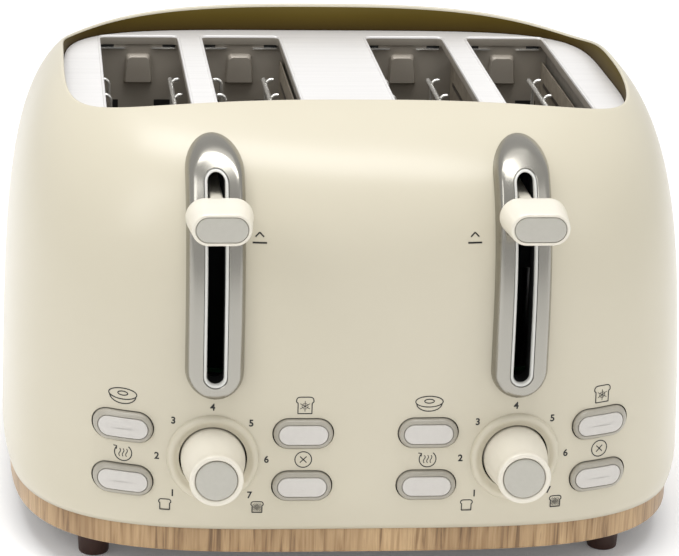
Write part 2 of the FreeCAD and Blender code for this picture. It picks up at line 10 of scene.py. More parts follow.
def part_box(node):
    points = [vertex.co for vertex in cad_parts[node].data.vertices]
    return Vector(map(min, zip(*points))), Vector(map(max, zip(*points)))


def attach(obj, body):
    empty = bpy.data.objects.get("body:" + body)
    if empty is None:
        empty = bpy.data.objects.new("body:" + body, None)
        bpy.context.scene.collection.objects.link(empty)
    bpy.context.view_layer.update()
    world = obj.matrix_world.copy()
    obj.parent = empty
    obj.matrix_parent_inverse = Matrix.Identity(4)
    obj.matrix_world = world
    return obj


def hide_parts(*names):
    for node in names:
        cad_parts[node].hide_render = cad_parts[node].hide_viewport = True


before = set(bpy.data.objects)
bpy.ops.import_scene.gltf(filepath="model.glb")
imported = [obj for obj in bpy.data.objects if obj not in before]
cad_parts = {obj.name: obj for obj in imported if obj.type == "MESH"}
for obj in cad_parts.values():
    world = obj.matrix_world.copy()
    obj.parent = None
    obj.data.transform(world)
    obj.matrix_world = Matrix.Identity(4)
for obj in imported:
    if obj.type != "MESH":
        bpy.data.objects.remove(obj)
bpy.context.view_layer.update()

# A four-slice pop-up toaster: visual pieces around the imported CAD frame, in metres.
MM = 0.001
SIDES = (("left", -1), ("right", 1))

# ---------------------------------------------------------------- sizes read from the frame
shell_low, shell_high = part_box("outer_shell")
plate_low, plate_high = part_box("top_plate")
band_low, band_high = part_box("wood_band")
front_wall_low, front_wall_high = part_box("front_bulkhead")
back_wall_low, back_wall_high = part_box("rear_bulkhead")
arm_low, arm_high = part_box("lever_arm_right")

CENTRE_Y = (shell_low.y + shell_high.y) / 2
SHELL_BOTTOM = shell_low.z
PLATE_TOP = plate_high.z
PAIR_X = (arm_low.x + arm_high.x) / 2

# ---------------------------------------------------------------- the body's surface
CROWN = 207.7 * MM
POWER_LOW, POWER_HIGH = 3.854, 2.58
SIDE_LEAN = (-81.6 * MM, 5.824, 7.011)
FRONT_LEAN = (82.6 * MM, 4.517, 2.186)
OPENING_POWER = 4.5
PLATE_CLEARANCE = 0.3 * MM
OPENING_HALF_X = plate_high.x + PLATE_CLEARANCE
OPENING_HALF_Y = (plate_high.y - plate_low.y) / 2 + PLATE_CLEARANCE


def remaining(z, lean, crown):
    """Share of the body's full half size left at a height."""
    start, power, root = lean
    rise = np.clip((z - start) / (crown - start), 0.0, 1.0)
    return (1.0 - rise ** power) ** (1.0 / root)


HALF_X = shell_high.x / remaining(SHELL_BOTTOM, SIDE_LEAN, CROWN)
HALF_Y = (shell_high.y - shell_low.y) / 2


def half_sizes(z, grow=0.0):
    """Half width, half depth and plan power of the body's section at a height."""
    crown = CROWN + grow
    climb = np.clip((z - SHELL_BOTTOM) / (crown - SHELL_BOTTOM), 0.0, 1.0)
    return ((HALF_X + grow) * remaining(z, SIDE_LEAN, crown),
            (HALF_Y + grow) * remaining(z, FRONT_LEAN, crown),
            POWER_LOW + (POWER_HIGH - POWER_LOW) * climb)


def front_y(x, z, grow=0.0):
    """Y of the body's front surface, grown outwards."""
    across, along, power = half_sizes(np.asarray(z, float), grow)
    share = np.clip(1.0 - np.abs(np.asarray(x, float) / across) ** power, 0.0, 1.0)
    return CENTRE_Y - along * share ** (1.0 / power)


def plan_radius(angle, z, grow=0.0):
    """Distance from the body's axis to its surface in a direction, at a height."""
    across, along, power = half_sizes(z, grow)
    total = np.abs(np.cos(angle) / across) ** power + np.abs(np.sin(angle) / along) ** power
    return total ** (-1.0 / power)


def opening_radius(angle, grow=0.0):
    """Distance from the axis to the top opening's edge in a direction."""
    across = np.abs(np.cos(angle) / (OPENING_HALF_X + grow)) ** OPENING_POWER
    along = np.abs(np.sin(angle) / (OPENING_HALF_Y + grow)) ** OPENING_POWER
    return (across + along) ** (-1.0 / OPENING_POWER)


def rim_height(angle):
    """Height at which the body's surface meets the top opening, in a direction."""
    low, high = PLATE_TOP, CROWN - 0.01 * MM
    target = opening_radius(angle)
    for _ in range(40):
        middle = (low + high) / 2
        if plan_radius(angle, middle) > target:
            low = middle
        else:
            high = middle
    return low


# ---------------------------------------------------------------- materials
def tone(red, green, blue):
    """Linear colour from its 0 to 255 display values."""
    shares = (red / 255, green / 255, blue / 255)
    return tuple(s / 12.92 if s <= 0.04045 else ((s + 0.055) / 1.055) ** 2.4 for s in shares) + (1.0,)


class Finish:
    """A procedural material: a main shader whose colour, roughness and bump come from noise."""

    def __init__(self, name, roughness=0.5, metallic=0.0, coat=0.0, coat_roughness=0.05, specular=0.5):
        self.material = bpy.data.materials.new(name)
        self.material.use_nodes = True
        self.nodes = self.material.node_tree.nodes
        self.links = self.material.node_tree.links
        self.shader = self.nodes["Principled BSDF"]
        for socket, value in (("Roughness", roughness), ("Metallic", metallic), ("Coat Weight", coat),
                              ("Coat Roughness", coat_roughness), ("Specular IOR Level", specular)):
            self.shader.inputs[socket].default_value = value
        self.place = self.nodes.new("ShaderNodeTexCoord").outputs["Object"]

    def noise(self, scale, stretch=(1, 1, 1), detail=3.0, distortion=0.0):
        """A noise value; scale is in features per metre, stretch slows it along an axis."""
        mapping = self.nodes.new("ShaderNodeMapping")
        mapping.inputs["Scale"].default_value = stretch
        self.links.new(self.place, mapping.inputs["Vector"])
        texture = self.nodes.new("ShaderNodeTexNoise")
        texture.inputs["Scale"].default_value = scale
        texture.inputs["Detail"].default_value = detail
        texture.inputs["Distortion"].default_value = distortion
        self.links.new(mapping.outputs["Vector"], texture.inputs["Vector"])
        return texture.outputs["Fac"]

    def ramp(self, value, stops):
        """Colours along a value."""
        ramp = self.nodes.new("ShaderNodeValToRGB")
        entries = ramp.color_ramp.elements
        while len(entries) < len(stops):
            entries.new(0.5)
        for entry, (position, colour) in zip(entries, stops):
            entry.position = position
            entry.color = colour
        self.links.new(value, ramp.inputs["Fac"])
        return ramp.outputs["Color"]

    def colour(self, value, stops):
        self.links.new(self.ramp(value, stops), self.shader.inputs["Base Color"])
        return self

    def rough(self, value, low, high):
        """Roughness that wanders between two values."""
        spread = self.nodes.new("ShaderNodeMapRange")
        spread.inputs["To Min"].default_value = low
        spread.inputs["To Max"].default_value = high
        self.links.new(value, spread.inputs["Value"])
        self.links.new(spread.outputs["Result"], self.shader.inputs["Roughness"])
        return self

    def bump(self, value, depth, coat=False):
        """Relief of a real depth in metres."""
        relief = self.nodes.new("ShaderNodeBump")
        relief.inputs["Distance"].default_value = depth
        relief.inputs["Strength"].default_value = 1.0
        self.links.new(value, relief.inputs["Height"])
        self.links.new(relief.outputs["Normal"], self.shader.inputs["Normal"])
        if coat:
            self.links.new(relief.outputs["Normal"], self.shader.inputs["Coat Normal"])
        return self


def mottled(name, dark, light, scale, depth=0.0, roughness=(0.4, 0.5), stretch=(1, 1, 1), bump_scale=None,
            **values):
    """A finish whose colour and roughness wander a little, with a fine relief."""
    finish = Finish(name, roughness=roughness[0], **values)
    wander = finish.noise(scale, stretch)
    finish.colour(wander, ((0.3, tone(*dark)), (0.7, tone(*light))))
    finish.rough(finish.noise(scale * 1.7, stretch), *roughness)
    if depth:
        finish.bump(finish.noise(bump_scale or scale * 4, stretch), depth, coat=values.get("coat", 0) > 0)
    return finish.material


CREAM = mottled("cream_paint", (197, 190, 170), (200, 193, 174), 9, 0.010 * MM, (0.27, 0.33), bump_scale=900,
                coat=0.12, coat_roughness=0.22, specular=0.35)
CREAM_PLASTIC = mottled("cream_plastic", (218, 212, 197), (221, 215, 201), 60, 0.005 * MM, (0.26, 0.34),
                        bump_scale=2500, coat=0.25, coat_roughness=0.1)
CHROME = mottled("satin_chrome", (156, 153, 145), (162, 159, 151), 25, 0.002 * MM, (0.22, 0.27),
                 bump_scale=700, metallic=1.0)
LINER = mottled("liner_grey", (204, 203, 197), (212, 211, 206), 40, 0.004 * MM, (0.2, 0.3), bump_scale=1500,
                coat=0.3)
BUTTON = mottled("button_grey", (160, 155, 143), (163, 158, 146), 500, 0.006 * MM, (0.3, 0.36),
                 bump_scale=3000)
INLAY = mottled("button_inlay", (196, 192, 186), (199, 195, 189), 500, 0.005 * MM, (0.26, 0.32),
                bump_scale=3000)
CAP = mottled("cap_grey", (176, 173, 163), (179, 176, 166), 500, 0.005 * MM, (0.22, 0.28), bump_scale=3000)
PLATE = mottled("satin_steel", (240, 238, 236), (246, 244, 242), 14, 0.002 * MM, (0.34, 0.42),
                stretch=(1, 30, 30), bump_scale=120, metallic=0.55)
SHEET = mottled("sheet_steel", (150, 144, 135), (168, 162, 153), 12, 0.006 * MM, (0.36, 0.46),
                stretch=(25, 25, 1), bump_scale=90, metallic=0.6)
SLOT_WALL = mottled("slot_wall_steel", (156, 148, 136), (164, 157, 146), 40, 0.006 * MM, (0.42, 0.5),
                    bump_scale=900, metallic=0.15)
WIRE = mottled("wire_chrome", (222, 220, 214), (236, 234, 229), 90, 0.004 * MM, (0.14, 0.22), bump_scale=900,
               metallic=0.7)
ROD = mottled("rod_steel", (150, 149, 147), (168, 167, 165), 120, 0.004 * MM, (0.25, 0.35), metallic=1.0)
MICA = mottled("mica", (128, 118, 104), (152, 142, 126), 240, 0.03 * MM, (0.45, 0.6))
RIBBON = mottled("heating_ribbon", (86, 80, 76), (104, 97, 91), 300, 0.01 * MM, (0.4, 0.55), metallic=0.8)
# Black plastic for frames and spindles; also the painted shade of the track wells, the slot openings, the
# front bulkhead and the carriages.
DARK = mottled("frame_plastic", (14, 14, 14), (20, 20, 20), 80, 0.02 * MM, (0.55, 0.7), bump_scale=1200)
BOARD = mottled("board_green", (16, 66, 34), (22, 78, 42), 160, 0.02 * MM, (0.35, 0.5))
MAGNET = mottled("magnet_metal", (60, 54, 48), (74, 68, 60), 150, 0.02 * MM, (0.4, 0.5), metallic=0.6)
RUBBER = mottled("gland_rubber", (24, 24, 24), (32, 32, 31), 120, 0.03 * MM, (0.6, 0.75), bump_scale=1500)
FOOT = mottled("foot_plastic", (46, 20, 8), (58, 27, 12), 140, 0.03 * MM, (0.45, 0.6), bump_scale=1500)
PAN = mottled("base_plastic", (58, 44, 34), (70, 55, 44), 90, 0.04 * MM, (0.5, 0.65), bump_scale=900)
INK = mottled("printed_ink", (15, 14, 12), (20, 19, 17), 400, 0.002 * MM, (0.4, 0.5))


def oak():
    """Pale oak whose grain stands upright: streaks, fine pores and slow colour drift."""
    finish = Finish("oak_band", roughness=0.4, coat=0.15, coat_roughness=0.3)
    streaks = finish.noise(520, (1, 1, 0.05), detail=8.0, distortion=0.5)
    drift = finish.noise(30, (1, 1, 0.3), detail=2.0)
    pores = finish.noise(1500, (1, 1, 0.03), detail=2.0)
    mix = finish.nodes.new("ShaderNodeMix")
    mix.data_type = "RGBA"
    mix.blend_type = "MULTIPLY"
    mix.inputs["Factor"].default_value = 1.0
    grain = finish.ramp(streaks, ((0.30, tone(118, 90, 58)), (0.43, tone(170, 139, 100)),
                                  (0.60, tone(196, 167, 128)), (0.74, tone(146, 115, 78))))
    finish.links.new(grain, mix.inputs[6])
    patches = finish.ramp(drift, ((0.3, tone(214, 205, 192)), (0.7, tone(255, 252, 246))))
    finish.links.new(patches, mix.inputs[7])
    finish.links.new(mix.outputs[2], finish.shader.inputs["Base Color"])
    finish.rough(streaks, 0.36, 0.52)
    finish.bump(pores, 0.05 * MM)
    return finish.material


OAK = oak()


def rim_wall_shade():
    """The rim's inner face in painted shade: olive at the top, darkening to dark brown at the plate."""
    finish = Finish("rim_inner_painted_shade", roughness=0.7, specular=0.15)
    apart = finish.nodes.new("ShaderNodeSeparateXYZ")
    finish.links.new(finish.place, apart.inputs["Vector"])
    height = finish.nodes.new("ShaderNodeMapRange")
    height.inputs["From Min"].default_value = PLATE_TOP
    height.inputs["From Max"].default_value = PLATE_TOP + 16 * MM
    finish.links.new(apart.outputs["Z"], height.inputs["Value"])
    finish.colour(height.outputs["Result"], ((0.0, tone(52, 38, 4)), (0.45, tone(84, 69, 18)),
                                             (1.0, tone(110, 97, 50))))
    finish.bump(finish.noise(900), 0.01 * MM)
    return finish.material


RIM_WALL_SHADE = rim_wall_shade()

# ---------------------------------------------------------------- mesh helpers
CREASE = math.radians(32)


def skin(rings, cap_first=False, cap_last=False, cycle=False):
    """Vertices and faces of a surface through a stack of closed loops with equal counts."""
    count = len(rings[0])
    verts = np.concatenate(rings)
    faces = []
    pairs = [(level, level + 1) for level in range(len(rings) - 1)]
    if cycle:
        pairs.append((len(rings) - 1, 0))
    for first, second in pairs:
        for i in range(count):
            j = (i + 1) % count
            faces.append((first * count + i, first * count + j, second * count + j, second * count + i))
    if cap_first:
        faces.append(tuple(range(count - 1, -1, -1)))
    if cap_last:
        faces.append(tuple(range(len(verts) - count, len(verts))))
    return verts, faces


def join_parts(parts):
    """One vertex and face list from several."""
    verts, faces, start = [], [], 0
    for part_verts, part_faces in parts:
        verts.append(np.asarray(part_verts))
        faces.extend(tuple(i + start for i in face) for face in part_faces)
        start += len(part_verts)
    return np.concatenate(verts), faces


def make_mesh(name, part):
    """A mesh object with its faces turned outwards."""
    verts, faces = part
    mesh = bpy.data.meshes.new(name)
    mesh.from_pydata([tuple(v) for v in verts], [], faces)
    work = bmesh.new()
    work.from_mesh(mesh)
    bmesh.ops.recalc_face_normals(work, faces=work.faces)
    work.to_mesh(mesh)
    work.free()
    piece = bpy.data.objects.new(name, mesh)
    bpy.context.scene.collection.objects.link(piece)
    return piece


def add_piece(name, part, material, body="casing", covers=()):
    """A finished piece: smooth but for its creases, in its material, riding on its body."""
    piece = make_mesh(name, part)
    piece.data.materials.append(material)
    piece.data.shade_smooth()
    piece.data.set_sharp_from_angle(angle=CREASE)
    place_piece(piece, body, covers)
    return piece


def place_piece(piece, body="casing", covers=()):
    """Puts a piece on its body, in place of the nodes it covers."""
    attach(piece, body)
    if covers:
        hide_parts(*covers)


def arc(start, end, steps):
    return [math.radians(start + (end - start) * i / steps) for i in range(steps + 1)]


def capsule(low, high, radius, upright=True, turns=20, runs=24):
    """Loop round two equal circles centred at low and high on the long axis."""
    points = [(radius, low + (high - low) * i / runs) for i in range(runs)]
    points += [(radius * math.cos(a), high + radius * math.sin(a)) for a in arc(0, 180, turns)[:-1]]
    points += [(-radius, high + (low - high) * i / runs) for i in range(runs)]
    points += [(radius * math.cos(a), low + radius * math.sin(a)) for a in arc(180, 360, turns)[:-1]]
    loop = np.array(points)
    return loop if upright else loop[:, ::-1]


def rounded(corners, radius, steps=6):
    """Loop of a polygon whose corners are rounded; radius is one value or one for each corner."""
    corners = np.array(corners, float)
    count = len(corners)
    radii = [radius] * count if np.isscalar(radius) else radius
    points = []
    for i, reach in enumerate(radii):
        here, back, ahead = corners[i], corners[i - 1], corners[(i + 1) % count]
        start = here + (back - here) / np.linalg.norm(back - here) * reach
        end = here + (ahead - here) / np.linalg.norm(ahead - here) * reach
        for step in range(steps + 1):
            t = step / steps
            points.append((1 - t) ** 2 * start + 2 * t * (1 - t) * here + t * t * end)
    return np.array(points)


def on_front(loop, grow):
    """A loop of (x, z) laid on the body's front surface, grown outwards."""
    return np.column_stack((loop[:, 0], front_y(loop[:, 0], loop[:, 1], grow), loop[:, 1]))


def at_depth(loop, y):
    """A loop of (x, z) in the plane of one Y."""
    return np.column_stack((loop[:, 0], np.full(len(loop), y), loop[:, 1]))


def at_height(loop, z):
    """A loop of (x, y) at one height."""
    return np.column_stack((loop[:, 0], loop[:, 1], np.full(len(loop), z)))


def lathe(profile, x, y, z, axis="y", turns=64):
    """Rings of (radius, distance along the axis) turned about a line through a point, closed at both ends."""
    rings = []
    for radius, along in profile:
        around = np.array([(radius * math.cos(a), radius * math.sin(a)) for a in arc(0, 360, turns)[:-1]])
        if axis == "y":
            rings.append(np.column_stack((x + around[:, 0], np.full(turns, y + along), z + around[:, 1])))
        else:
            rings.append(np.column_stack((x + around[:, 0], y + around[:, 1], np.full(turns, z + along))))
    return skin(rings, True, True)


def tube(path, radius, sides=12):
    """A round bar along a list of points."""
    path = np.array(path, float)
    ahead = np.gradient(path, axis=0)
    ahead /= np.linalg.norm(ahead, axis=1)[:, None]
    normal = np.cross(ahead[0], (0.0, 0.0, 1.0) if abs(ahead[0][2]) < 0.9 else (0.0, 1.0, 0.0))
    rings = []
    for point, direction in zip(path, ahead):
        normal = normal - direction * np.dot(normal, direction)
        normal /= np.linalg.norm(normal)
        other = np.cross(direction, normal)
        rings.append(np.array([point + radius * (math.cos(a) * normal + math.sin(a) * other)
                               for a in arc(0, 360, sides)[:-1]]))
    return skin(rings, True, True)


# ---------------------------------------------------------------- painted shell
SHELL_SKIN = 0.8 * MM
ANGLES = 288
SIDE_ROWS = 84
ROLL = 2.3 * MM
ROLL_ROWS = 8
CURL, CURL_HEIGHT = 2.4 * MM, 13.0 * MM     # the shell's foot tucks in
WALL_MARGIN, WALL_TILT = 0.02 * MM, 0.35    # what counts as the rim's inner face
RIM_DROP = PLATE_TOP - 4.5 * MM
TRACK_LOW, TRACK_HIGH = 92.6 * MM, PLATE_TOP - 7.0 * MM
TRACK_RADIUS = 3.45 * MM
LINER_WIDTH = 1.4 * MM
DIAL_Z = (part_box("browning_knob_right")[0].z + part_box("browning_knob_right")[1].z) / 2
DIAL_HOLE = 14.0 * MM


def rim_path(angle):
    """Outline of the shell's outer face in one direction, from its bottom over the rim, as (radius, z)."""
    top = rim_height(angle)
    share = np.sin(np.linspace(0, math.pi / 2, 400))
    heights = SHELL_BOTTOM + (top - SHELL_BOTTOM) * share
    curl = np.clip(1.0 - (heights - SHELL_BOTTOM) / CURL_HEIGHT, 0.0, 1.0)
    radii = plan_radius(angle, heights) - CURL * curl ** 2
    length = np.concatenate(([0.0], np.cumsum(np.hypot(np.diff(radii), np.diff(heights)))))
    rows = np.linspace(0.0, length[-1] - ROLL, SIDE_ROWS)
    side = np.column_stack((np.interp(rows, length, radii), np.interp(rows, length, heights)))
    start, corner = side[-1], np.array((radii[-1], top))
    end = corner - (0.0, ROLL)
    roll = [(1 - t) ** 2 * start + 2 * t * (1 - t) * corner + t * t * end
            for t in np.linspace(0, 1, ROLL_ROWS + 1)[1:]]
    wall = [np.array((corner[0], z)) for z in np.linspace(end[1], RIM_DROP, 7)[1:]]
    return np.array(list(side) + roll + wall)


def thickened(path, thickness):
    """The path and, back along it, the inner face at a distance."""
    ahead = np.gradient(path, axis=0)
    ahead /= np.linalg.norm(ahead, axis=1)[:, None]
    inner = path + thickness * np.column_stack((-ahead[:, 1], ahead[:, 0]))
    inner[0, 1] = path[0, 1]
    inner[-1, 1] = path[-1, 1]
    return np.concatenate((path, inner[::-1]))


def shell_part():
    """The closed shell before its holes are cut."""
    columns = []
    for step in range(ANGLES):
        angle = 2 * math.pi * step / ANGLES
        section = thickened(rim_path(angle), SHELL_SKIN)
        columns.append(np.column_stack((section[:, 0] * math.cos(angle),
                                        CENTRE_Y + section[:, 0] * math.sin(angle), section[:, 1])))
    columns = np.array(columns)
    return skin([columns[:, row] for row in range(columns.shape[1])], cycle=True)


def bar_part(loop, y0, y1):
    """A bar along Y with a section of (x, z)."""
    return skin([at_depth(loop, y0), at_depth(loop, y1)], True, True)


def button_places(side, name):
    """Label, X and Z of the four buttons of a group, from the frame."""
    places = []
    for label in ("bagel", "reheat", "defrost", "cancel"):
        low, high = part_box("%s_button_%s" % (label, name))
        places.append((label, (low.x + high.x) / 2, (low.z + high.z) / 2))
    return places


BUTTON_HALF_X, BUTTON_HALF_Z = 12.25 * MM, 6.3 * MM
BUTTON_GAP = 0.5 * MM
FRONT_FAR = shell_low.y - 20 * MM
FRONT_NEAR = front_wall_low.y - 8 * MM
BACK_FAR = shell_high.y + 20 * MM
BACK_NEAR = back_wall_high.y + 6 * MM
TRACK_GAP = 0.1 * MM
TRAY_HALF, TRAY_BOTTOM, TRAY_TOP, TRAY_CORNER = 42.6 * MM, 30.0 * MM, 37.9 * MM, 0.6 * MM
GLAND_HOLE = 6.2 * MM


def shell_cutters():
    """Bars for every hole in the shell."""
    parts = []
    for name, side in SIDES:
        x = side * PAIR_X
        low, high = TRACK_LOW + TRACK_RADIUS, TRACK_HIGH - TRACK_RADIUS
        loop = capsule(low, high, TRACK_RADIUS + LINER_WIDTH + TRACK_GAP) + (x, 0)
        parts.append(bar_part(loop, FRONT_FAR, FRONT_NEAR))
        parts.append(lathe(((DIAL_HOLE, 0), (DIAL_HOLE, FRONT_NEAR - FRONT_FAR)), x, FRONT_FAR, DIAL_Z))
        for _, centre_x, centre_z in button_places(side, name):
            reach = BUTTON_HALF_X - BUTTON_HALF_Z
            loop = capsule(-reach, reach, BUTTON_HALF_Z + BUTTON_GAP, upright=False, runs=8)
            parts.append(bar_part(loop + (centre_x, centre_z), FRONT_FAR, FRONT_NEAR))
        tray_low, tray_high = x - TRAY_HALF, x + TRAY_HALF
        corners = ((tray_low, TRAY_BOTTOM), (tray_high, TRAY_BOTTOM),
                   (tray_high, TRAY_TOP), (tray_low, TRAY_TOP))
        parts.append(bar_part(rounded(corners, TRAY_CORNER), BACK_NEAR, BACK_FAR))
    gland_low, gland_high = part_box("cord_gland")
    parts.append(lathe(((GLAND_HOLE, 0), (GLAND_HOLE, BACK_FAR - BACK_NEAR)), 0, BACK_NEAR,
                       (gland_low.z + gland_high.z) / 2))
    return join_parts(parts)


def make_shell():
    """The painted shell with its holes cut and its rim's inner face in painted shade."""
    uncut = make_mesh("shell_uncut", shell_part())
    cutter = make_mesh("shell_cutter", shell_cutters())
    shell = uncut.copy()
    shell.data = uncut.data.copy()
    shell.name = "shell"
    bpy.context.scene.collection.objects.link(shell)
    cut = shell.modifiers.new("holes", "BOOLEAN")
    cut.operation = "DIFFERENCE"
    cut.solver = "EXACT"
    cut.object = cutter
    bpy.context.view_layer.update()
    result = bpy.data.meshes.new_from_object(shell.evaluated_get(bpy.context.evaluated_depsgraph_get()))
    shell.modifiers.clear()
    shell.data = result
    smooth_from(shell.data, uncut.data)
    bpy.data.objects.remove(uncut)
    bpy.data.objects.remove(cutter)
    shell.data.materials.clear()
    shell.data.materials.append(CREAM)
    shell.data.materials.append(RIM_WALL_SHADE)
    # Faces on the rim's inner face take the second material, the painted shade.
    for face in shell.data.polygons:
        x, y, _ = face.center
        inside = math.hypot(x, y - CENTRE_Y) < opening_radius(math.atan2(y - CENTRE_Y, x), WALL_MARGIN)
        face.material_index = 1 if inside and abs(face.normal.z) < WALL_TILT else 0
    place_piece(shell, covers=("outer_shell",))


def smooth_from(mesh, source):
    """Gives a cut mesh the smooth normals of the mesh it was cut from, and flat ones on the cuts."""
    tree = BVHTree.FromPolygons([v.co for v in source.vertices], [p.vertices for p in source.polygons])
    verts = [v.co for v in source.vertices]
    vert_normals = [v.normal.copy() for v in source.vertices]
    normals = []
    known = {}
    mesh.shade_smooth()
    for face in mesh.polygons:
        flat = face.normal.copy()
        for index in face.vertices:
            if index not in known:
                place, _, found, _ = tree.find_nearest(mesh.vertices[index].co)
                corners = source.polygons[found].vertices
                weights = [1.0 / ((verts[c] - place).length + 1e-7) for c in corners]
                total = Vector((0, 0, 0))
                for c, weight in zip(corners, weights):
                    total += vert_normals[c] * weight
                known[index] = total.normalized()
            smooth = known[index]
            normals.append(smooth if smooth.dot(flat) > 0.8 else flat)
    mesh.normals_split_custom_set([tuple(n) for n in normals])


make_shell()

# ---------------------------------------------------------------- lever tracks
BEZEL_PROFILE = ((8.55, -0.5), (8.5, 0.8), (8.32, 2.1), (7.95, 3.4), (7.4, 4.6), (6.7, 5.5), (6.0, 6.0),
                 (5.4, 6.2), (4.2, 6.32), (1.8, 6.5), (1.58, 6.35), (1.5, 5.9), (1.5, -0.5))
LINER_PROFILE = ((1.4, 4.4), (1.4, 5.9), (1.3, 6.25), (1.05, 6.45), (0.75, 6.48), (0.4, 6.35), (0.12, 5.95),
                 (0.0, 5.4), (0.0, 4.4))
WELL_PROFILE = ((1.4, -3.0), (1.4, 4.4), (0.0, 4.4), (0.0, -3.4))
SIDE_MARGIN, FOOT_MARGIN, HEAD_MARGIN = 8.55 * MM, 7.8 * MM, 10.1 * MM


def track_loop(x, out):
    """The track's outline grown outwards; beyond the liner the head reaches further than the foot."""
    beyond = max(0.0, out - LINER_WIDTH) / (SIDE_MARGIN - LINER_WIDTH)
    low = TRACK_LOW + TRACK_RADIUS + beyond * (SIDE_MARGIN - FOOT_MARGIN)
    high = TRACK_HIGH - TRACK_RADIUS + beyond * (HEAD_MARGIN - SIDE_MARGIN)
    return capsule(low, high, TRACK_RADIUS + out, runs=30) + (x, 0)


for name, side in SIDES:
    x = side * PAIR_X
    rings = [on_front(track_loop(x, out * MM), grow * MM) for out, grow in BEZEL_PROFILE]
    add_piece("bezel_" + name + "_trim", skin(rings, cycle=True), CHROME,
              covers=("bezel_" + name,))
    rings = [on_front(track_loop(x, out * MM), grow * MM) for out, grow in LINER_PROFILE]
    add_piece("liner_" + name, skin(rings, cycle=True), LINER,
              covers=("track_liner_" + name,))
    # A black sleeve inside each liner: painted shade for the dark inside of the track.
    rings = [on_front(track_loop(x, out * MM), grow * MM) for out, grow in WELL_PROFILE]
    add_piece("track_well_shade_" + name, skin(rings, cycle=True), DARK)

# ---------------------------------------------------------------- levers
ARM_ROUND = 1.2 * MM
KNOB_LENGTH = 20.0
FACE_SHORTER = 0.7
KNOB_PROFILE = ((20.0, 2.4), (19.8, 1.3), (19.3, 0.6), (18.4, 0.15), (17.0, 0.05), (10.0, 0.5), (3.0, 0.98),
                (1.2, 1.12), (0.5, 1.28), (0.12, 1.6), (0.0, 2.0), (0.02, 2.35), (0.15, 2.5), (1.2, 2.55),
                (1.3, 3.0))
CAP_PROFILE = ((1.3, 3.0), (1.1, 2.72), (0.4, 2.72), (0.1, 2.84), (-0.02, 3.15), (-0.06, 3.8), (-0.08, 5.0),
               (-0.08, 6.9))


def stack(x, z, front, profile, half_long, half_short):
    """A bar along Y with a lying stadium section, from (depth behind its front, inset) pairs."""
    rings = []
    reach = half_long - half_short
    for depth, inset in profile:
        nearer = FACE_SHORTER * MM * min(1.0, 1.0 - depth / KNOB_LENGTH)
        loop = capsule(nearer - reach, reach - nearer, half_short - inset * MM, upright=False, runs=10)
        rings.append(at_depth(loop + (x, z), front + depth * MM))
    return skin(rings, True, True)


for name, side in SIDES:
    low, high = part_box("lever_knob_" + name)
    x, z = (low.x + high.x) / 2, (low.z + high.z) / 2
    half_long, half_short = (high.x - low.x) / 2, (high.z - low.z) / 2
    add_piece("lever_knob_" + name + "_shape", stack(x, z, low.y, KNOB_PROFILE, half_long, half_short),
              CREAM_PLASTIC, name + "_lever", ("lever_knob_" + name,))
    add_piece("lever_inlay_" + name, stack(x, z, low.y, CAP_PROFILE, half_long, half_short),
              CAP, name + "_lever", ("lever_cap_" + name,))
    low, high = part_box("lever_arm_" + name)
    corners = ((low.x, low.z), (high.x, low.z), (high.x, high.z), (low.x, high.z))
    loop = rounded(corners, ARM_ROUND)
    add_piece("lever_tongue_" + name, skin([at_depth(loop, low.y), at_depth(loop, high.y)], True, True),
              CREAM_PLASTIC, name + "_lever", ("lever_arm_" + name,))

# ---------------------------------------------------------------- browning dials
RING_PROFILE = ((19.0, -0.3), (18.85, 0.7), (18.4, 1.5), (17.7, 2.05), (16.9, 2.2), (16.1, 1.95), (15.4, 1.4),
                (14.8, 1.05), (14.2, 0.95), (14.0, 0.8), (14.0, -1.2))
KNOB_TURN = ((13.3, 4.0), (13.3, -2.0), (13.1, -4.5), (12.3, -9.0), (11.4, -14.0), (10.85, -18.0),
             (10.75, -20.5), (10.9, -22.2), (11.05, -23.2), (11.0, -24.0), (10.7, -24.5), (10.2, -24.7),
             (9.5, -24.6), (8.95, -24.2), (8.72, -23.8), (8.7, -23.0), (8.0, -22.9))
CAP_TURN = ((8.0, -22.9), (8.5, -23.0), (8.5, -23.9), (8.4, -24.25), (8.1, -24.45), (7.0, -24.55),
            (5.0, -24.6), (2.0, -24.64), (0.5, -24.64))


for name, side in SIDES:
    x = side * PAIR_X
    surface = float(front_y(PAIR_X, DIAL_Z))
    circle = np.array([(math.cos(a), math.sin(a)) for a in arc(0, 360, 96)[:-1]])
    rings = [on_front(circle * radius * MM + (x, DIAL_Z), grow * MM) for radius, grow in RING_PROFILE]
    add_piece("dial_bulge_" + name, skin(rings, cycle=True), CREAM,
              covers=("dial_ring_" + name,))
    turned = [(radius * MM, along * MM) for radius, along in KNOB_TURN]
    add_piece("dial_" + name, lathe(turned, x, surface, DIAL_Z, turns=96), CREAM_PLASTIC,
              name + "_dial", ("browning_knob_" + name,))
    turned = [(radius * MM, along * MM) for radius, along in CAP_TURN]
    add_piece("dial_inlay_" + name, lathe(turned, x, surface, DIAL_Z, turns=96), CAP,
              name + "_dial", ("knob_cap_" + name,))

# ---------------------------------------------------------------- press buttons
BUTTON_PROFILE = ((0.0, -5.0), (0.0, 0.5), (0.08, 1.0), (0.35, 1.45), (0.8, 1.8), (1.35, 2.08), (1.75, 2.2),
                  (1.88, 2.1), (1.9, 1.6), (2.3, 1.6))
INLAY_PROFILE = ((2.3, 1.6), (2.16, 1.7), (2.16, 2.25), (2.28, 2.45), (2.55, 2.52), (3.2, 2.56), (4.4, 2.58),
                 (5.8, 2.58))


def button_part(x, z, profile):
    """A lying stadium that follows the front surface, from (inset, proud) pairs."""
    rings = []
    reach = BUTTON_HALF_X - BUTTON_HALF_Z
    for inset, grow in profile:
        loop = capsule(-reach, reach, BUTTON_HALF_Z - inset * MM, upright=False, runs=10) + (x, z)
        rings.append(on_front(loop, grow * MM))
    return skin(rings, True, True)


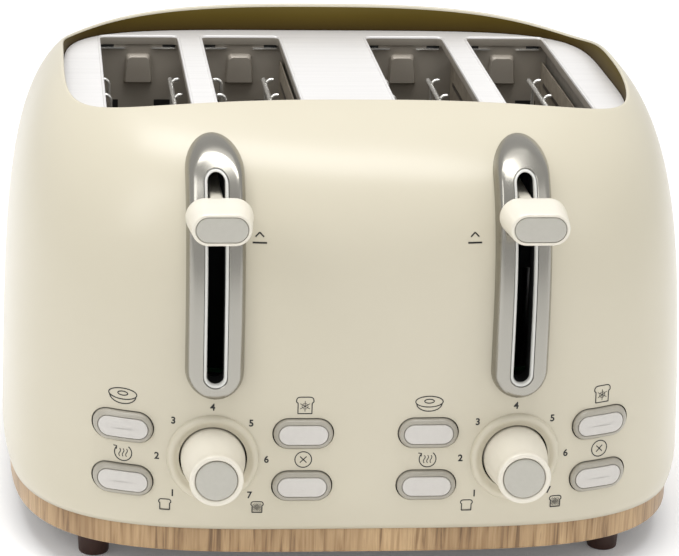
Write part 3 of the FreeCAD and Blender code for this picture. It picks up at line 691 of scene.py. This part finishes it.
for name, side in SIDES:
    for label, x, z in button_places(side, name):
        body = "%s_%s_button" % (name, label)
        add_piece(body + "_key", button_part(x, z, BUTTON_PROFILE), BUTTON, body,
                  ("%s_button_%s" % (label, name),))
        add_piece(body + "_inlay", button_part(x, z, INLAY_PROFILE), INLAY, body)

# ---------------------------------------------------------------- printed marks
INK_LOW, INK_HIGH = 0.02 * MM, 0.08 * MM
LINE = 0.42 * MM
DIGIT_CIRCLE = 22.5 * MM
DIGIT_SIZE = 4.1 * MM
PRINT_SHIFT = -0.5 * MM
ICON_X = 37.0 * MM
DIAL_STEPS, DIAL_FIRST, DIAL_STEP = 7, 225, 45
WHITE_SLICE, TOASTED_SLICE = (-19.5 * MM, 37.0 * MM), (18.6 * MM, 36.9 * MM)
ICON_HEIGHTS = {"bagel": 82.4 * MM, "reheat": 57.9 * MM, "frozen": 82.0 * MM, "cancel": 58.1 * MM}
REHEAT_SHIFT, FROZEN_SHIFT, CANCEL_SHIFT = 0.3 * MM, 0.3 * MM, 0.2 * MM
LIFT_MARK_X, LIFT_MARK_SHIFT = 19.0 * MM, 1.5 * MM
CHEVRON_Z, LIFT_BAR_Z, LIFT_BAR_HALF = 153.3 * MM, 150.2 * MM, 2.9 * MM


def ribbon(path, width=LINE, closed=False):
    """A printed line along a path of (x, z) on the front surface."""
    path = np.array(path, float)
    if closed:
        ahead = np.roll(path, -1, axis=0) - np.roll(path, 1, axis=0)
    else:
        ahead = np.gradient(path, axis=0)
    ahead /= np.linalg.norm(ahead, axis=1)[:, None]
    across = np.column_stack((-ahead[:, 1], ahead[:, 0])) * width / 2
    edges = [on_front(path + across, INK_LOW), on_front(path - across, INK_LOW),
             on_front(path - across, INK_HIGH), on_front(path + across, INK_HIGH)]
    sections = [np.array([edge[i] for edge in edges]) for i in range(len(path))]
    return skin(sections, not closed, not closed, cycle=closed)


def oval(x, z, half_x, half_z, start=0, end=360, steps=36):
    """Points of an ellipse or of a part of it."""
    angles = arc(start, end, steps)
    if end - start == 360:
        angles = angles[:-1]
    return [(x + half_x * math.cos(a), z + half_z * math.sin(a)) for a in angles]


def straight(x0, z0, x1, z1, steps=4):
    return [(x0 + (x1 - x0) * i / steps, z0 + (z1 - z0) * i / steps) for i in range(steps + 1)]


def scaled(points, x, z):
    return [(x + px * MM, z + pz * MM) for px, pz in points]


def bread_outline(x, z, width, height):
    """A slice with a wider crown, as a closed loop."""
    share = ((-0.40, -0.5), (0.40, -0.5), (0.40, 0.14), (0.5, 0.2), (0.5, 0.5), (-0.5, 0.5), (-0.5, 0.2),
             (-0.40, 0.14))
    corners = [(x + a * width, z + b * height) for a, b in share]
    radii = [width * r for r in (0.02, 0.02, 0.05, 0.05, 0.24, 0.24, 0.05, 0.05)]
    return ribbon(rounded(corners, radii, steps=4), closed=True)


def bagel_icon(x, z):
    return [ribbon(oval(x, z + 0.9 * MM, 5.7 * MM, 2.35 * MM), closed=True),
            ribbon(oval(x, z + 1.1 * MM, 2.0 * MM, 0.85 * MM), closed=True),
            ribbon(oval(x, z + 0.2 * MM, 5.3 * MM, 3.5 * MM, 184, 356))]


def reheat_icon(x, z):
    parts = [ribbon(oval(x, z, 3.5 * MM, 3.5 * MM, -222, 52, 40))]
    parts.append(ribbon(scaled(((-4.0, 2.7), (-2.6, 2.55), (-2.75, 1.2)), x, z)))
    for offset in (-1.4, 0.0, 1.4):
        wave = [(offset + 0.35 * math.sin(t * 2 * math.pi), 1.7 - 3.4 * t) for t in np.linspace(0, 1, 17)]
        parts.append(ribbon(scaled(wave, x, z), LINE * 0.8))
    return parts


def frozen_icon(x, z):
    parts = [bread_outline(x, z, 7.2 * MM, 7.2 * MM)]
    centre = z - 0.4 * MM
    for angle in (90, 30, -30):
        reach_x = 2.3 * MM * math.cos(math.radians(angle))
        reach_z = 2.3 * MM * math.sin(math.radians(angle))
        parts.append(ribbon(straight(x - reach_x, centre - reach_z, x + reach_x, centre + reach_z),
                            LINE * 0.6))
    parts.append(ribbon(oval(x, centre, 1.3 * MM, 1.3 * MM, steps=6), LINE * 0.45, closed=True))
    return parts


def cancel_icon(x, z):
    reach = 1.35 * MM
    return [ribbon(oval(x, z, 3.45 * MM, 3.45 * MM), closed=True),
            ribbon(straight(x - reach, z - reach, x + reach, z + reach)),
            ribbon(straight(x - reach, z + reach, x + reach, z - reach))]


def hatched_icon(x, z):
    parts = [bread_outline(x, z, 5.1 * MM, 4.8 * MM)]
    reach = 1.75 * MM
    for lean in (-1, 1):
        for step in (-1.2, -0.4, 0.4, 1.2):
            shift = step * MM
            low, high = max(-reach, shift - reach), min(reach, shift + reach)
            parts.append(ribbon(straight(x + low, z + lean * (low - shift) * 0.95, x + high,
                                         z + lean * (high - shift) * 0.95), LINE * 0.35))
    return parts


def digit(text, x, z):
    """A printed numeral whose middle is at a place."""
    letters = bpy.data.curves.new("numeral", "FONT")
    letters.body = text
    letters.size = DIGIT_SIZE
    letters.align_x = "CENTER"
    letters.resolution_u = 6
    letters.offset = 0.11 * MM
    letters.extrude = (INK_HIGH - INK_LOW) / 2
    holder = bpy.data.objects.new("numeral", letters)
    bpy.context.scene.collection.objects.link(holder)
    bpy.context.view_layer.update()
    mesh = bpy.data.meshes.new_from_object(holder)
    points = np.array([tuple(v.co) for v in mesh.vertices])
    points[:, 0] += x - (points[:, 0].max() + points[:, 0].min()) / 2
    points[:, 1] += z - (points[:, 1].max() + points[:, 1].min()) / 2
    middle = (INK_HIGH + INK_LOW) / 2
    verts = [(px, float(front_y(px, pz, middle + rise)), pz) for px, pz, rise in points]
    faces = [tuple(face.vertices) for face in mesh.polygons]
    bpy.data.objects.remove(holder)
    return np.array(verts), faces


for name, side in SIDES:
    x = side * PAIR_X
    scale = []
    for step in range(DIAL_STEPS):
        a = math.radians(DIAL_FIRST - DIAL_STEP * step)
        scale.append(digit(str(step + 1), x + PRINT_SHIFT + DIGIT_CIRCLE * math.cos(a),
                           DIAL_Z + DIGIT_CIRCLE * math.sin(a)))
    scale.append(bread_outline(x + WHITE_SLICE[0], WHITE_SLICE[1], 5.0 * MM, 4.6 * MM))
    scale += hatched_icon(x + TOASTED_SLICE[0], TOASTED_SLICE[1])
    add_piece("dial_marks_" + name, join_parts(scale), INK)
    icons = (bagel_icon(x - ICON_X, ICON_HEIGHTS["bagel"])
             + reheat_icon(x - ICON_X + REHEAT_SHIFT, ICON_HEIGHTS["reheat"])
             + frozen_icon(x + ICON_X + FROZEN_SHIFT, ICON_HEIGHTS["frozen"])
             + cancel_icon(x + ICON_X + CANCEL_SHIFT, ICON_HEIGHTS["cancel"]))
    add_piece("button_marks_" + name, join_parts(icons), INK)
    lift_x = x - side * LIFT_MARK_X - LIFT_MARK_SHIFT
    lift = [ribbon(scaled(((-1.7, -0.8), (-0.85, 0.05), (0.0, 0.9)), lift_x, CHEVRON_Z), LINE * 1.3),
            ribbon(scaled(((0.0, 0.9), (0.85, 0.05), (1.7, -0.8)), lift_x, CHEVRON_Z), LINE * 1.3),
            ribbon(straight(lift_x - LIFT_BAR_HALF, LIFT_BAR_Z, lift_x + LIFT_BAR_HALF, LIFT_BAR_Z),
                   LINE * 1.6)]
    add_piece("lift_mark_" + name, join_parts(lift), INK)

# ---------------------------------------------------------------- top plate and slots
SLOT_HALF_X, SLOT_CORNER = 18.1 * MM, 3.0 * MM
SLOT_OFFSET = 23.975 * MM
SLOT_FRONT, SLOT_BACK = front_wall_high.y + 1.4 * MM, back_wall_low.y - 1.4 * MM
SLOTS = [side * PAIR_X + half * SLOT_OFFSET for _, side in SIDES for half in (-1, 1)]
PLATE_UNDER = 2.6 * MM        # sheet's underside above the lips' feet
ROLL_ROOM = 1.0 * MM          # plate cut back for the rolled edges
ROLL_PROFILE = ((1.5, -0.3), (1.35, 0.12), (1.0, 0.42), (0.6, 0.5), (0.25, 0.36), (0.05, 0.02), (0.0, -0.5),
                (0.4, -0.55), (0.8, -0.6))
LIP_PROFILE = ((0.4, -0.5), (0.0, -0.5), (0.0, -3.6), (0.15, -3.9), (0.45, -4.0), (0.7, -3.85), (0.8, -3.5),
               (0.8, -0.6))


def slot_loop(x, out):
    """A slot's outline in plan, grown outwards."""
    low_x, high_x = x - SLOT_HALF_X - out, x + SLOT_HALF_X + out
    low_y, high_y = SLOT_FRONT - out, SLOT_BACK + out
    corners = ((low_x, low_y), (high_x, low_y), (high_x, high_y), (low_x, high_y))
    return rounded(corners, SLOT_CORNER + out, steps=10)


def plate_part():
    """The flat plate as a ring between its outline and its slots, made by cutting."""
    angles = [2 * math.pi * step / 240 for step in range(240)]
    outline = np.array([(opening_radius(a, -PLATE_CLEARANCE) * math.cos(a),
                         CENTRE_Y + opening_radius(a, -PLATE_CLEARANCE) * math.sin(a)) for a in angles])
    sheet = make_mesh("plate_uncut", skin([at_height(outline, plate_low.z + PLATE_UNDER),
                                           at_height(outline, PLATE_TOP)], True, True))
    bars = [skin([at_height(slot_loop(x, ROLL_ROOM), PLATE_TOP - 30 * MM),
                  at_height(slot_loop(x, ROLL_ROOM), PLATE_TOP + 10 * MM)], True, True) for x in SLOTS]
    cutter = make_mesh("plate_cutter", join_parts(bars))
    cut = sheet.modifiers.new("slots", "BOOLEAN")
    cut.solver = "EXACT"
    cut.object = cutter
    bpy.context.view_layer.update()
    result = bpy.data.meshes.new_from_object(sheet.evaluated_get(bpy.context.evaluated_depsgraph_get()))
    part = [tuple(v.co) for v in result.vertices], [tuple(p.vertices) for p in result.polygons]
    bpy.data.objects.remove(sheet)
    bpy.data.objects.remove(cutter)
    return part


add_piece("plate", plate_part(), PLATE, covers=("top_plate",))
for index, x in enumerate(SLOTS):
    for label, profile, finish in (("roll", ROLL_PROFILE, PLATE), ("lip", LIP_PROFILE, SLOT_WALL)):
        rings = [at_height(slot_loop(x, out * MM), PLATE_TOP + rise * MM) for out, rise in profile]
        add_piece("slot_%s_%d" % (label, index + 1), skin(rings, cycle=True), finish)

# Behind each slot: a pressed pad, a ledge in two lengths with a dark slit over each, and two dark windows;
# the slits and windows are black slabs on the wall, painted shade for the openings.
PAD_TOP, PAD_BOTTOM = PLATE_TOP - 8.2 * MM, PLATE_TOP - 21.8 * MM
PAD_PROUD = 3.0 * MM
LEDGE_Z = PLATE_TOP - 5.3 * MM
WINDOW_TOP = PLATE_TOP - 31.0 * MM
WINDOW_HEIGHT, SLIT_HEIGHT = 16 * MM, 1.5 * MM
LEDGE_SPANS = ((-17.6, -6.2), (6.2, 17.6))
WINDOW_SPANS = ((-17.4, -9.4), (7.6, 17.4))
SLIT_SPANS = ((-17.6, -11.5), (11.5, 17.6))
BEHIND_WALL = 0.1 * MM


def slab_x(x0, x1, z0, z1, y0, y1):
    """A thin plate facing the front with softened edges."""
    loop = rounded(((x0, z0), (x1, z0), (x1, z1), (x0, z1)), 0.25 * MM, steps=3)
    return skin([at_depth(loop, y0), at_depth(loop, y1)], True, True)


def pad_part(x):
    """The pressed pad: a raised field with a wide bevel along its top."""
    wall = back_wall_low.y
    steps = ((0.9, 0.0, 1.4), (0.6, 0.5, 1.2), (0.1, 0.85, 0.35), (0.0, 1.0, 0.0))
    rings = []
    for out, proud, top in steps:
        half_top, half_low = 4.9 * MM + out * MM, 6.0 * MM + out * MM
        low, high = PAD_BOTTOM - out * MM, PAD_TOP - 1.6 * MM + top * MM
        corners = ((x - half_low, low), (x + half_low, low), (x + half_top, high), (x - half_top, high))
        radii = (0.7 * MM, 0.7 * MM, 2.2 * MM, 2.2 * MM)
        rings.append(at_depth(rounded(corners, radii), wall - proud * PAD_PROUD))
    return skin(rings, True, True)


for index, x in enumerate(SLOTS):
    wall = back_wall_low.y
    add_piece("slot_pad_%d" % (index + 1), pad_part(x), SLOT_WALL)
    ledges = [slab_x(x + a * MM, x + b * MM, LEDGE_Z - 0.7 * MM, LEDGE_Z, wall - 1.6 * MM, wall + BEHIND_WALL)
              for a, b in LEDGE_SPANS]
    add_piece("slot_ledge_%d" % (index + 1), join_parts(ledges), WIRE)
    # Black slabs for the windows and the slits: painted shade where the wall is open.
    shade_slabs = [slab_x(x + a * MM, x + b * MM, WINDOW_TOP - WINDOW_HEIGHT, WINDOW_TOP, wall - 0.15 * MM,
                      wall + BEHIND_WALL) for a, b in WINDOW_SPANS]
    shade_slabs += [slab_x(x + a * MM, x + b * MM, LEDGE_Z, LEDGE_Z + SLIT_HEIGHT, wall - 0.25 * MM,
                       wall + BEHIND_WALL) for a, b in SLIT_SPANS]
    add_piece("slot_window_%d" % (index + 1), join_parts(shade_slabs), DARK)

# ---------------------------------------------------------------- wire bread guides
GUIDE_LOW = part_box("bread_guide_left_near")[0].z + 1.3 * MM
GUIDE_TOP = PLATE_TOP - 16.0 * MM
GUIDE_ROWS = 4
GUIDE_PITCH = 28.0 * MM
GUIDE_LAST = SLOT_BACK - 29.0 * MM
GUIDE_FIRST = GUIDE_LAST - (GUIDE_ROWS - 1) * GUIDE_PITCH
GUIDE_INSET, FIRST_SLOT_INSET = 10.4 * MM, 14.6 * MM
HOOK = 2.6 * MM
WIRE_RADIUS, RAIL_RADIUS = 0.9 * MM, 1.15 * MM
RAIL_FRONT, RAIL_BACK = SLOT_FRONT - 1.0 * MM, SLOT_BACK - 19.0 * MM
HOOK_SWEEP = {-1: 165, 1: 105}


def guide_part(x, edge):
    """One grid: upright wires that hook over outwards, on a top rail and a foot rail."""
    inner = x + edge * (FIRST_SLOT_INSET if x < -PAIR_X else GUIDE_INSET)
    parts = []
    for row in range(GUIDE_ROWS):
        y = GUIDE_FIRST + (GUIDE_LAST - GUIDE_FIRST) * row / (GUIDE_ROWS - 1)
        path = [(inner, y, GUIDE_LOW + (GUIDE_TOP - GUIDE_LOW) * i / 12) for i in range(12)]
        path += [(inner + edge * HOOK * (1 - math.cos(a)), y, GUIDE_TOP + HOOK * math.sin(a))
                 for a in arc(0, HOOK_SWEEP[edge], 14)]
        parts.append(tube(path, WIRE_RADIUS))
    top_x = inner - 0.4 * MM if edge > 0 else inner - 2 * HOOK
    for z, rail_x in ((GUIDE_TOP, top_x), (GUIDE_LOW, inner)):
        path = [(rail_x, RAIL_FRONT + (RAIL_BACK - RAIL_FRONT) * i / 10, z) for i in range(11)]
        parts.append(tube(path, RAIL_RADIUS, sides=16))
    return parts


for name, side in SIDES:
    for label, edge in (("near", -1), ("far", 1)):
        parts = []
        for half in (-1, 1):
            parts += guide_part(side * PAIR_X + half * SLOT_OFFSET, edge)
        add_piece("guide_wires_%s_%s" % (name, label), join_parts(parts), WIRE,
                  "%s_guides_%s" % (name, label), ("bread_guide_%s_%s" % (name, label),))

# ---------------------------------------------------------------- base
BAND_INSET = 0.9 * MM + CURL
BAND_PROFILE = ((3.2, 0.0), (0.9, 0.0), (0.35, 0.15), (0.08, 0.5), (0.0, 1.1), (0.0, 10.4), (0.12, 10.8),
                (0.4, 11.05), (0.9, 11.1), (3.2, 11.1))
angles = [2 * math.pi * step / ANGLES for step in range(ANGLES)]
rings = []
for inset, z in BAND_PROFILE:
    reach = [plan_radius(a, SHELL_BOTTOM, -BAND_INSET - inset * MM) for a in angles]
    loop = np.array([(r * math.cos(a), CENTRE_Y + r * math.sin(a)) for r, a in zip(reach, angles)])
    rings.append(at_height(loop, band_low.z + z * MM))
add_piece("wood_band_ring", skin(rings, cycle=True), OAK, covers=("wood_band",))

feet_low, feet_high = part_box("feet")
FOOT_PROFILE = ((4.6, 0.0), (5.9, 0.1), (6.3, 0.4), (6.5, 1.0), (6.6, 3.0), (7.3, 14.0), (7.5, 15.7))
FOOT_REACH = FOOT_PROFILE[-1][0] * MM
parts = []
for x in (feet_low.x + FOOT_REACH, feet_high.x - FOOT_REACH):
    for y in (feet_low.y + FOOT_REACH, feet_high.y - FOOT_REACH):
        parts.append(lathe([(r * MM, z * MM) for r, z in FOOT_PROFILE], x, y, 0.0, axis="z", turns=48))
add_piece("feet_turned", join_parts(parts), FOOT, covers=("feet",))

# ---------------------------------------------------------------- carried-over CAD nodes
# The front bulkhead and the carriages are black: painted shade for the dark space behind the lever tracks.
CARRIED = {"base_pan": PAN, "base_screws": ROD, "front_bulkhead": DARK, "rear_bulkhead": SLOT_WALL,
           "heater_cards": MICA, "heater_windings": RIBBON, "side_reflectors": SHEET,
           "centre_reflectors": SHEET, "carriage_rods": ROD, "cord_gland": RUBBER}
for name, _ in SIDES:
    CARRIED.update({"lift_spring_" + name: ROD, "carriage_" + name: DARK, "bread_racks_" + name: SHEET,
                    "control_board_" + name: BOARD, "button_frame_" + name: DARK,
                    "knob_spindle_" + name: DARK,
                    "latch_magnet_" + name: MAGNET, "crumb_tray_" + name: SHEET})
for node, material in CARRIED.items():
    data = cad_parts[node]
    for entry in data.material_slots:
        entry.material = material

# ---------------------------------------------------------------- camera
CAMERA_PLACE = (-135.97 * MM, CENTRE_Y - 1193.76 * MM, 489.39 * MM)
YAW, PITCH, ROLL_ANGLE = 0.086, 0.323, 0.025
FOCAL = 2757.3
IMAGE_WIDTH = 679
SENSOR = 36.0
SHIFT = 80 / IMAGE_WIDTH

ahead = Vector((math.sin(YAW) * math.cos(PITCH), math.cos(YAW) * math.cos(PITCH), -math.sin(PITCH)))
level = Vector((math.cos(YAW), -math.sin(YAW), 0.0))
upright = level.cross(ahead)
right = math.cos(ROLL_ANGLE) * level + math.sin(ROLL_ANGLE) * upright
above = -math.sin(ROLL_ANGLE) * level + math.cos(ROLL_ANGLE) * upright
camera_data = bpy.data.cameras.new("camera")
camera_data.sensor_width = SENSOR
camera_data.lens = FOCAL * SENSOR / IMAGE_WIDTH
camera_data.shift_x = SHIFT
camera_data.clip_end = 60.0
camera = bpy.data.objects.new("camera", camera_data)
bpy.context.scene.collection.objects.link(camera)
turn = Matrix((right, above, -ahead)).transposed().to_4x4()
camera.matrix_world = Matrix.Translation(CAMERA_PLACE) @ turn
bpy.context.scene.camera = camera

# ---------------------------------------------------------------- floor and light
floor_mesh = bpy.data.meshes.new("floor")
HALF_FLOOR = 12.0
floor_mesh.from_pydata([(-HALF_FLOOR, -HALF_FLOOR, 0), (HALF_FLOOR, -HALF_FLOOR, 0),
                        (HALF_FLOOR, HALF_FLOOR, 0), (-HALF_FLOOR, HALF_FLOOR, 0)], [], [(0, 1, 2, 3)])
floor = bpy.data.objects.new("floor", floor_mesh)
bpy.context.scene.collection.objects.link(floor)
floor_finish = Finish("floor_paper", roughness=0.9, specular=0.1)
floor_finish.colour(floor_finish.noise(3), ((0.3, (0.97, 0.97, 0.97, 1)), (0.7, (1.0, 1.0, 1.0, 1))))
floor_finish.shader.inputs["Emission Color"].default_value = (1.0, 1.0, 1.0, 1.0)
floor_finish.shader.inputs["Emission Strength"].default_value = 0.08
floor.data.materials.append(floor_finish.material)


def softbox(name, place, target, width, height, watts):
    """A rectangular lamp that faces a point."""
    lamp = bpy.data.lights.new(name, "AREA")
    lamp.shape = "RECTANGLE"
    lamp.size, lamp.size_y = width, height
    lamp.energy = watts
    holder = bpy.data.objects.new(name, lamp)
    bpy.context.scene.collection.objects.link(holder)
    holder.location = place
    holder.rotation_euler = (Vector(target) - Vector(place)).to_track_quat("-Z", "Y").to_euler()


MIDDLE = (0.0, CENTRE_Y, 0.1)
softbox("key_left", (-1.3, -0.9, 1.2), MIDDLE, 0.5, 1.0, 5)
softbox("fill_right", (1.5, -0.9, 0.9), MIDDLE, 0.4, 1.0, 1.2)
softbox("strip_overhead", (-0.1, -0.15, 1.5), MIDDLE, 1.5, 0.42, 14)
softbox("overhead", (0.0, 0.3, 1.6), MIDDLE, 1.6, 1.0, 4)

world = bpy.data.worlds.new("studio")
bpy.context.scene.world = world
world.use_nodes = True
world.node_tree.nodes["Background"].inputs["Color"].default_value = (1.0, 1.0, 1.0, 1.0)
world.node_tree.nodes["Background"].inputs["Strength"].default_value = 0.7
bpy.context.scene.view_settings.view_transform = "Standard"
